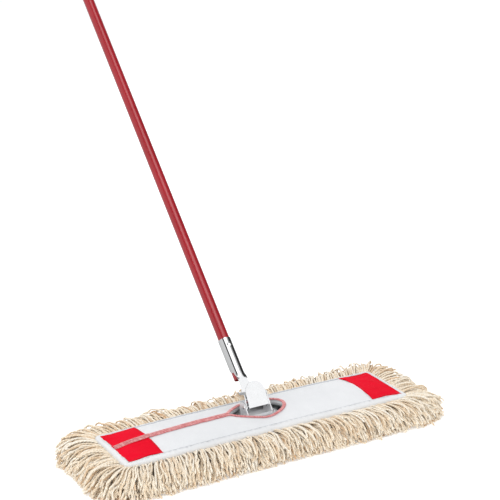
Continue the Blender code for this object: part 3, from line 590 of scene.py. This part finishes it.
def make_patch(name, x_low, x_high, y_low, y_high, nodes, slit_side=0):
    """A red patch sewn on by its folded edges, pulled in a little between its corners."""
    nx, ny = 30, 48 if slit_side == 0 else 26
    bm = bmesh.new()
    grid = []
    for j in range(ny + 1):
        v = j / ny
        row = []
        for i in range(nx + 1):
            u = i / nx
            pull = 4.2 * MM * math.sin(math.pi * u) ** 0.8
            low = y_low + (pull if slit_side != 1 else 0)
            high = y_high - (pull if slit_side != -1 else 0)
            x = x_low + (x_high - x_low) * u
            y = low + (high - low) * v
            if slit_side == 0 or (v < 0.5) == (slit_side == -1):
                y += 1.6 * MM * smooth_noise(x * 42, y_high * 9, 3.0)
            bow = 2.2 * MM * math.sin(math.pi * (0.5 + y / (2 * HALF_Y)))
            inner = x_low if x_high > 0 else x_high
            x += (bow if x_high > 0 else -bow) * max(0, 1 - abs(x - inner) / (25 * MM))
            edge = min(min(u, 1 - u) * (x_high - x_low), min(v, 1 - v) * (high - low))
            fold = 0.5 * MM * math.exp(-((edge - 1.8 * MM) / (1.6 * MM)) ** 2)
            fold -= 0.7 * MM * math.exp(-edge / (0.5 * MM))
            fold += 0.25 * MM * math.sin((x + y) * 900) * math.exp(-edge / (3 * MM))
            near = edge_lift(outline_distance(x, y))
            billow = 0.5 * MM * smooth_noise(x * 38, y * 30, 12.0)
            crease = abs(smooth_noise(x * 11, y * 24, 7.0))
            billow += 1.1 * MM * max(0, 1 - crease / 0.16)
            row.append(bm.verts.new((x, y, cover_z(x, y) + 1.15 * MM + fold + near + billow)))
        grid.append(row)
    for low, high in zip(grid, grid[1:]):
        for i in range(nx):
            bm.faces.new((low[i], low[i + 1], high[i + 1], high[i]))
    made = sewn_cloth(name, bm, THIN_CLOTH)
    finish_piece(made, RED, "head", nodes)
    inset = 2.4 * MM
    corners = [
        (x_low + inset, y_low + inset), (x_high - inset, y_low + inset),
        (x_high - inset, y_high - inset), (x_low + inset, y_high - inset),
    ]
    stitches = []
    for a, b in zip(corners, corners[1:] + corners[:1]):
        length = math.dist(a, b)
        count = round(length / (2.9 * MM))
        tx, ty = (b[0] - a[0]) / length, (b[1] - a[1]) / length
        beside_slit = slit_side and abs(a[1]) < 10 * MM and abs(b[1]) < 10 * MM
        bow = 0 if beside_slit else (4.2 if ty == 0 else 0) * MM
        if tx == 0 and abs(a[0]) < abs(x_low + x_high) / 2:
            bow = 2.2 * MM
        for k in range(count):
            s = (k + 0.5) / count
            x, y = a[0] + (b[0] - a[0]) * s, a[1] + (b[1] - a[1]) * s
            if ty == 0:
                y += bow * math.sin(math.pi * s) ** 0.8 * (1 if tx > 0 else -1)
            elif bow:
                x += bow * math.sin(math.pi * (0.5 + y / (2 * HALF_Y))) * (1 if x > 0 else -1)
            line = []
            for t in (-1, -0.5, 0, 0.5, 1):
                px, py = x + tx * t * 1.1 * MM, y + ty * t * 1.1 * MM
                near = edge_lift(outline_distance(px, py))
                line.append((px, py, cover_z(px, py) + near + (1.75 + 0.2 * (1 - t * t)) * MM))
            stitches.append(line)
    thread = tubes(f"{name}_stitches", stitches, 0.3 * MM, (0, 0, 1), rng.random(len(stitches)), sides=5)
    finish_piece(thread, RED_THREAD, "head")
    return made


def make_facing():
    """The cloth turned under round the keyhole, which slopes down and out towards the wires."""
    outline = np.array(keyhole(-0.2 * MM, 40))
    centre = np.array([KEY_X, 0.0])
    levels = ((0.0, None), (2.5 * MM, 0.45), (6.5 * MM, 0.0))
    bm = bmesh.new()
    foot = backing_high.z + 8 * MM
    rings = []
    for out, share in levels:
        ring = []
        for x, y in outline:
            away = np.array([x, y]) - centre
            away /= np.linalg.norm(away)
            px, py = x + away[0] * out, y + away[1] * out
            top = cover_z(x, y) - 0.6 * MM
            wave = 0.6 * MM * smooth_noise(px * 90, py * 90, 6.0)
            z = top if share is None else foot + (top - foot) * share + wave
            ring.append(bm.verts.new((px, py, z)))
        rings.append(ring)
    for upper, lower in zip(rings, rings[1:]):
        for i in range(len(outline)):
            k = (i + 1) % len(outline)
            if min(outline[i][0], outline[k][0]) > KEY_X - KEY_LENGTH / 2 + 2 * MM:
                bm.faces.new((upper[i], upper[k], lower[k], lower[i]))
    bmesh.ops.delete(bm, geom=[v for v in bm.verts if not v.link_faces], context="VERTS")
    made = sewn_cloth("keyhole_facing", bm, THIN_CLOTH, 0)
    finish_piece(made, CANVAS, "head")


def make_flap():
    """The cloth turned in along the keyhole's front edge, which reaches the bracket."""
    bracket_low, bracket_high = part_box("base_bracket")
    inner = bracket_low.y - 1.2 * MM
    foot = bracket_low.z + 4 * MM
    edge = sorted((x, y) for x, y in keyhole(-0.4 * MM, 40) if y < inner - 2 * MM and x < bracket_high.x)
    rows = 8
    bm = bmesh.new()
    columns = []
    for x, y in edge:
        top = cover_z(x, y) - 0.8 * MM
        column = []
        for step in range(rows + 1):
            share = step / rows
            across = y + (inner - y) * share
            wave = 0.5 * MM * smooth_noise(x * 85, across * 110, 9.0) * share
            column.append(bm.verts.new((x, across, top + (foot - top) * share ** 1.3 + wave)))
        columns.append(column)
    for first, second in zip(columns, columns[1:]):
        for step in range(rows):
            bm.faces.new((first[step], second[step], second[step + 1], first[step + 1]))
    bmesh.ops.recalc_face_normals(bm, faces=bm.faces)
    area = sum(face.calc_area() for face in bm.faces)
    made = sewn_cloth("keyhole_flap", bm, THIN_CLOTH, 0)
    finish_piece(made, CANVAS, "head")


def edging_path():
    """Points along the overlocked edge, and their distances along it."""
    margin = 1.2 * MM
    loop = keyhole(margin, 40)
    half = [p for p in loop if p[1] > -0.1 * MM]
    beside = SLIT / 2 + margin
    slit_end = -HALF_X + HEM_WIDTH + 2 * MM
    x = KEY_X - KEY_LENGTH / 2 - 2 * margin
    count = round((x - slit_end) / (4 * MM))
    half += [(x + (slit_end - x) * i / count, beside) for i in range(1, count + 1)]
    front = [(px, -py + sag(px, -py)) for px, py in reversed(half)]
    path = np.array(front + half[1:])
    step = np.linalg.norm(np.diff(path, axis=0), axis=1)
    s = np.concatenate([[0], np.cumsum(step)])
    return path, s


def make_edging():
    path, s = edging_path()
    spacing = 1.5 * MM
    count = int(s[-1] / spacing)
    at = np.linspace(0, s[-1], count)
    xs, ys = np.interp(at, s, path[:, 0]), np.interp(at, s, path[:, 1])
    kernel = np.ones(5) / 5
    xs[2:-2], ys[2:-2] = np.convolve(xs, kernel, "valid"), np.convolve(ys, kernel, "valid")
    dx, dy = np.gradient(xs), np.gradient(ys)
    length = np.hypot(dx, dy)
    tx, ty = dx / length, dy / length
    nx, ny = ty, -tx
    on_patch = np.where(xs < left_front_high.x + 1 * MM, 1.2 * MM, 0.0)
    lift = np.array([cover_z(x, y) + 0.9 * MM for x, y in zip(xs, ys)]) + on_patch
    for _ in range(3):
        lift[1:-1] = (lift[:-2] + lift[1:-1] + lift[2:]) / 3
    width = 6.0 * MM
    section = []
    for k in range(10):
        angle = math.tau * k / 10
        section.append((math.cos(angle) * width / 2 * 0.92, math.sin(angle) * 0.8 * MM))
    verts = []
    for i in range(count):
        for across, up in section:
            out = across + 1.0 * MM
            verts.append((xs[i] + nx[i] * out, ys[i] + ny[i] * out, lift[i] + 0.5 * MM + up))
    index = np.arange(count * 10).reshape(count, 10)
    nxt = np.roll(index, -1, axis=1)
    quads = np.stack([index[:-1], nxt[:-1], nxt[1:], index[1:]], axis=2).reshape(-1, 4)
    loops = np.concatenate([quads.ravel(), index[0, ::-1], index[-1]])
    starts = np.concatenate([np.arange(len(quads)) * 4, len(quads) * 4 + np.array([0, 10])])
    band = new_mesh("edging_band", verts, loops, starts)
    attribute = band.data.attributes.new("tone_and_shade", "FLOAT", "POINT")
    attribute.data.foreach_set("value", np.full(count * 10, 0.4, np.float32))
    finish_piece(band, PINK, "head", ["slot_edging"])
    stitches, tones_and_shades, slant = [], [], 0.5 * MM
    for i in range(count):
        line = []
        for k in range(7):
            t = k / 6
            across = (t - 0.5) * width * (1.0 + 0.06 * math.sin(i * 2.4))
            up = 1.25 * MM * math.sqrt(max(0.0, 1 - (2 * t - 1) ** 2)) + 0.15 * MM
            out = across + 1.0 * MM
            px = xs[i] + nx[i] * out + tx[i] * slant * (2 * t - 1)
            py = ys[i] + ny[i] * out + ty[i] * slant * (2 * t - 1)
            line.append((px, py, lift[i] + 0.35 * MM + up))
        stitches.append(line)
        tones_and_shades.append(0.25 + 0.75 * rng.random())
    threads = tubes("edging_threads", stitches, 0.42 * MM, np.stack([tx, ty, 0 * tx], 1), tones_and_shades, sides=5)
    finish_piece(threads, PINK, "head")
    chains = []
    for offset, rise in ((-width / 2 + 1.0 * MM, 0.35 * MM), (width / 2 + 0.6 * MM, 0.5 * MM)):
        line = []
        for i in range(count):
            wave = 0.35 * MM * math.sin(i * math.pi)
            px, py = xs[i] + nx[i] * (offset + wave), ys[i] + ny[i] * (offset + wave)
            line.append((px, py, lift[i] + rise + 0.25 * MM * (i % 2)))
        chains.append(line)
    chain = tubes("edging_chain", chains, 0.5 * MM, (0, 0, 1), [0.25, 0.1], sides=6)
    finish_piece(chain, PINK, "head")


# ---- pad, backing and fringe ----------------------------------------------------------------------


def make_backing():
    xs = np.linspace(-HALF_X + 1 * MM, HALF_X - 1 * MM, 80)
    ys = np.linspace(-HALF_Y + 1 * MM, HALF_Y - 1 * MM, 24)
    bm = bmesh.new()
    middle = (backing_low.z + backing_high.z) / 2
    rows = []
    for y in ys:
        rows.append([bm.verts.new((x, y, middle + 0.25 * MM * smooth_noise(x * 40, y * 40, 4))) for x in xs])
    for low, high in zip(rows, rows[1:]):
        for i in range(len(xs) - 1):
            bm.faces.new((low[i], low[i + 1], high[i + 1], high[i]))
    made = sewn_cloth("backing_cloth", bm, THIN_CLOTH, 0)
    finish_piece(made, CANVAS, "head", ["backing_canvas"])


def make_pad():
    """The pad under the backing: rows of looped yarn, side by side in four layers."""
    lines, side_by_side = [], 4.3 * MM
    length = pad_high.x - 6 * MM
    for layer, level in enumerate((2.6 * MM, 12 * MM, 22 * MM, 31 * MM)):
        count = int((pad_high.y - pad_low.y - 8 * MM) / side_by_side)
        for k in range(count):
            y = pad_low.y + 5 * MM + k * side_by_side
            line = []
            for i in range(90):
                x = -length + 2 * length * i / 89
                sway = 1.4 * MM * math.sin(x * 160 + k * 2.1 + layer)
                sway += 2.5 * MM * smooth_noise(x * 12, k * 0.7, layer)
                lift = 1.3 * MM * smooth_noise(x * 30, k * 3.3, layer + 5)
                line.append((x, y + sway, max(2.2 * MM, level + lift)))
            lines.append(line)
    made = tubes("yarn_rows", lines, 2.3 * MM, (0, 1, 0), 0.35 + 0.6 * rng.random(len(lines)), sides=6)
    finish_piece(made, YARN, "head", ["yarn_pad"])


fringe_low, fringe_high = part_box("fringe_front")
STRAND_POINTS = 18
STRAND_SPACING = 3.9 * MM
FRINGE_LAYERS = 9
ROOT_CORNER = 12 * MM
TIP_CORNER = 54 * MM
ROOT_X, ROOT_Y = HALF_X - 7 * MM - ROOT_CORNER, HALF_Y - 7 * MM - ROOT_CORNER
TIP_X, TIP_Y = fringe_high.x - 1 * MM - TIP_CORNER, -fringe_low.y - 1 * MM - TIP_CORNER
FRINGE_LENGTH = 4 * (TIP_X + TIP_Y) + math.tau * TIP_CORNER
SIDES = ("front", "right", "back", "left")


def fringe_place(s):
    """Root and tip of a yarn end, and its side of the head, at a length along the outline of the tips."""
    s = s % FRINGE_LENGTH
    corner = math.pi / 2 * TIP_CORNER
    for number, length in enumerate((2 * TIP_X, corner, 2 * TIP_Y, corner) * 2):
        if s < length:
            break
        s -= length
    share = s / length
    quarter = number // 2
    if number % 2 == 0:
        angle = math.radians(-90 + 90 * quarter)
        along = 2 * share - 1
        run = ((along, -1), (1, along), (-along, 1), (-1, -along))[quarter]
        side = SIDES[quarter]
    else:
        angle = math.radians(-90 + 90 * quarter + 90 * share)
        run = ((1, -1), (1, 1), (-1, 1), (-1, -1))[quarter]
        side = SIDES[quarter if share < 0.5 else (quarter + 1) % 4]
    nx, ny = math.cos(angle), math.sin(angle)
    root = (run[0] * ROOT_X + nx * ROOT_CORNER, run[1] * ROOT_Y + ny * ROOT_CORNER)
    tip = (run[0] * TIP_X + nx * TIP_CORNER, run[1] * TIP_Y + ny * TIP_CORNER)
    return root, tip, side


def strand(s, share, root, tip, side):
    """One yarn end: its line, its radii, the direction across it and its tone at each point, with painted
    shade towards the root and in the lower layers.

    A share of 0 is the top layer, which arches highest, and 1 is the lowest."""
    t = np.linspace(0, 1, STRAND_POINTS)
    out = Vector((tip[0] - root[0], tip[1] - root[1], 0))
    reach = out.length
    out.normalize()
    across = Vector((-out.y, out.x, 0))
    tuft = smooth_noise(s * 32, share * 2.5, 0.3)
    clump = smooth_noise(s * 95, share * 3, 4.0)
    drift = (19 * tuft + 11 * clump + rng.normal(0, 5.0)) * MM
    reach *= 1.05 + 0.10 * smooth_noise(s * 55, share * 4, 9.0) + rng.uniform(-0.20, 0.07)
    start = (34.0 - 29.0 * share + rng.uniform(-1.2, 0.6)) * MM
    rise = (12 * (1 - share) ** 1.3 + rng.uniform(-3, 4)) * MM
    bulge = (47 * (1 - share) ** 0.9 + 4 + rng.uniform(-6, 9)) * MM
    if side == "back":
        rise += 3 * MM
        bulge += 5 * MM * (1 - share)
    end = (2.2 + 38 * (1 - share) ** 1.6 * rng.random() ** 1.2 + 3 * rng.random()) * MM
    distance, height = np.zeros(STRAND_POINTS), np.zeros(STRAND_POINTS)
    distances = (-3 * MM, 0.16 * reach, 0.80 * reach, reach)
    heights = (start, start + rise, bulge, end)
    weights = ((1 - t) ** 3, 3 * t * (1 - t) ** 2, 3 * t * t * (1 - t), t**3)
    for weight, far, high in zip(weights, distances, heights):
        distance += weight * far
        height += weight * high
    curl = rng.uniform(0.9, 3.4) * MM
    turns, phase = rng.uniform(0.8, 2.5), rng.random() * math.tau
    lateral = drift * t**1.4 + curl * t * np.sin(math.tau * turns * t + phase)
    height = height + 0.8 * curl * t * np.cos(math.tau * turns * t + phase * 1.7)
    radius = rng.uniform(1.45, 2.0) * MM
    line = np.empty((STRAND_POINTS, 3))
    line[:, 0] = root[0] + out.x * distance + across.x * lateral
    line[:, 1] = root[1] + out.y * distance + across.y * lateral
    line[:, 2] = np.maximum(height, radius * 1.02)
    taper = np.ones(STRAND_POINTS)
    taper[-2:] = (1.05, 0.8)
    # Painted shade: each strand's random tone is made darker in the lower layers and darker still towards
    # its root, where the yarn lies in shade.
    tone_and_layer_shade = np.clip(0.62 + 0.22 * rng.normal() + 0.15 * clump - 0.14 * share, 0.02, 1)
    tone_and_shade = np.clip(tone_and_layer_shade - 0.25 * (1 - t) ** 2 * (0.4 + share), 0, 1)
    return line, radius * taper, across, tone_and_shade


def make_fringe():
    """Yarn ends that come out under the hem all round, arch over and fall to the floor."""
    strands = {side: [] for side in SIDES}
    for layer in range(FRINGE_LAYERS):
        share = layer / (FRINGE_LAYERS - 1)
        for k in range(int(FRINGE_LENGTH / STRAND_SPACING)):
            s = (k + 0.5 * (layer % 2) + rng.uniform(-0.35, 0.35)) * STRAND_SPACING
            root, tip, side = fringe_place(s)
            strands[side].append(strand(s, share, root, tip, side))
    for side, found in strands.items():
        half = (len(found) + 1) // 2 if side in ("front", "back") else len(found)
        for number, part in enumerate((found[:half], found[half:]), 1):
            if part:
                made = tubes(f"fringe_{side}_yarn_{number}", *(np.array(row) for row in zip(*part)))
                finish_piece(made, YARN, "head", [f"fringe_{side}"] if number == 1 else ())


make_pad()
make_backing()
cover = make_cover()
make_hem()
make_patch("patch_right_cloth", patch_low.x, patch_high.x, patch_low.y, patch_high.y, ["patch_right"])
left_x = (left_front_low.x, left_front_high.x)
left_front_y = (left_front_low.y, left_front_high.y)
left_back_y = (left_back_low.y, left_back_high.y)
make_patch("patch_left_front_cloth", *left_x, *left_front_y, ["patch_left_front"], -1)
make_patch("patch_left_back_cloth", *left_x, *left_back_y, ["patch_left_back"], 1)
make_facing()
make_flap()
make_edging()
make_fringe()

# ---- hardware -------------------------------------------------------------------------------------



def make_spring():
    """The thumb plate's spring: a copy of the frame's spring part in spring steel, in that part's place."""
    node = frame["nodes"]["release_spring"]
    made = bpy.data.objects.new("twisting_spring", node.data.copy())
    bpy.context.scene.collection.objects.link(made)
    made.data.materials.clear()
    made.data.materials.append(STEEL)
    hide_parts("release_spring")
    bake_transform(made)


make_spring()

LOOKS = {"chrome": CHROME, "spring_steel": STEEL, "red_paint": PAINT, "black_plastic": PLASTIC}
slots = {part["node"]: part["material_slot"] for part in frame["record"]["subparts"]}
for name, node in frame["nodes"].items():
    look = LOOKS.get(slots[name])
    if look is None:
        continue
    if name in ("base_bracket", "frame_saddle_left", "frame_saddle_right"):
        look = PRESSED
    for number in range(len(node.material_slots)):
        node.material_slots[number].material = look
    soften = node.modifiers.new("softened edges", "BEVEL")
    soften.width = 0.15 * MM
    soften.segments = 1
    soften.limit_method = "ANGLE"
    soften.angle_limit = math.radians(40)

# ---- studio ---------------------------------------------------------------------------------------

scene = bpy.context.scene


def make_floor():
    """A plain white floor, which gives off a little light so that it stays white."""
    floor_mesh = bpy.data.meshes.new("studio_floor")
    floor_mesh.from_pydata([(-14, -14, 0), (14, -14, 0), (14, 14, 0), (-14, 14, 0)], [], [(0, 1, 2, 3)])
    floor = bpy.data.objects.new("studio_floor", floor_mesh)
    scene.collection.objects.link(floor)
    floor_look = bpy.data.materials.new("studio_floor")
    floor_look.use_nodes = True
    floor_shader = floor_look.node_tree.nodes["Principled BSDF"]
    floor_shader.inputs["Base Color"].default_value = (0.93, 0.93, 0.93, 1)
    floor_shader.inputs["Roughness"].default_value = 0.9
    floor_shader.inputs["Specular IOR Level"].default_value = 0.1
    floor_shader.inputs["Emission Color"].default_value = (1, 1, 1, 1)
    floor_shader.inputs["Emission Strength"].default_value = 0.3
    floor_mesh.materials.append(floor_look)
    floor.visible_glossy = False


def make_world():
    """Even light for everything, and bands round the studio, dark and bright, for chrome to mirror."""
    world = bpy.data.worlds.new("studio")
    scene.world = world
    world.use_nodes = True
    tree = world.node_tree
    background = tree.nodes["Background"]
    coords = tree.nodes.new("ShaderNodeTexCoord").outputs["Generated"]
    split = tree.nodes.new("ShaderNodeSeparateXYZ")
    tree.links.new(coords, split.inputs[0])
    turn = tree.nodes.new("ShaderNodeMath")
    turn.operation = "ARCTAN2"
    tree.links.new(split.outputs["Y"], turn.inputs[0])
    tree.links.new(split.outputs["X"], turn.inputs[1])
    azimuth = tree.nodes.new("ShaderNodeMapRange")
    azimuth.inputs["From Min"].default_value = -math.pi
    azimuth.inputs["From Max"].default_value = math.pi
    tree.links.new(turn.outputs[0], azimuth.inputs["Value"])
    bands = tree.nodes.new("ShaderNodeValToRGB")
    tree.links.new(azimuth.outputs[0], bands.inputs["Fac"])
    stops = (
        (0.0, 0.95), (0.018, 0.95), (0.03, 0.03), (0.10, 0.03), (0.118, 1.3), (0.19, 3.2), (0.295, 3.2),
        (0.33, 1.36), (0.408, 1.36), (0.428, 0.03), (0.555, 0.03), (0.575, 0.55), (0.80, 0.72), (1.0, 0.9),
    )
    while len(bands.color_ramp.elements) < len(stops):
        bands.color_ramp.elements.new(0.5)
    for element, (at, level) in zip(bands.color_ramp.elements, stops):
        element.position = at
        element.color = (level, level, level, 1)
    path = tree.nodes.new("ShaderNodeLightPath")
    reflected = tree.nodes.new("ShaderNodeMix")
    reflected.data_type = "RGBA"
    tree.links.new(path.outputs["Is Glossy Ray"], reflected.inputs[0])
    enabled(reflected.inputs, "A").default_value = (0.97, 0.98, 1.0, 1)
    tree.links.new(bands.outputs["Color"], enabled(reflected.inputs, "B"))
    seen_straight = tree.nodes.new("ShaderNodeMix")
    seen_straight.data_type = "RGBA"
    tree.links.new(path.outputs["Is Camera Ray"], seen_straight.inputs[0])
    tree.links.new(enabled(reflected.outputs, "Result"), enabled(seen_straight.inputs, "A"))
    enabled(seen_straight.inputs, "B").default_value = (1.5, 1.5, 1.5, 1)
    tree.links.new(enabled(seen_straight.outputs, "Result"), background.inputs["Color"])
    background.inputs["Strength"].default_value = 0.78


def area_light(name, location, target, size, energy):
    data = bpy.data.lights.new(name, "AREA")
    data.shape = "RECTANGLE"
    data.size, data.size_y = size
    data.energy = energy
    made = bpy.data.objects.new(name, data)
    made.visible_glossy = False
    made.location = location
    made.rotation_euler = (Vector(target) - Vector(location)).to_track_quat("-Z", "Y").to_euler()
    scene.collection.objects.link(made)


scene.view_settings.view_transform = "Standard"
make_floor()
make_world()
area_light("key", (-2.4, -1.4, 3.0), (0, 0.1, 0.1), (1.5, 1.5), 62)
area_light("fill", (2.6, -2.4, 2.4), (0, 0.2, 0.2), (1.8, 1.8), 30)
area_light("back", (0.4, 3.2, 2.6), (0, 0.3, 0.3), (2.5, 1.2), 40)
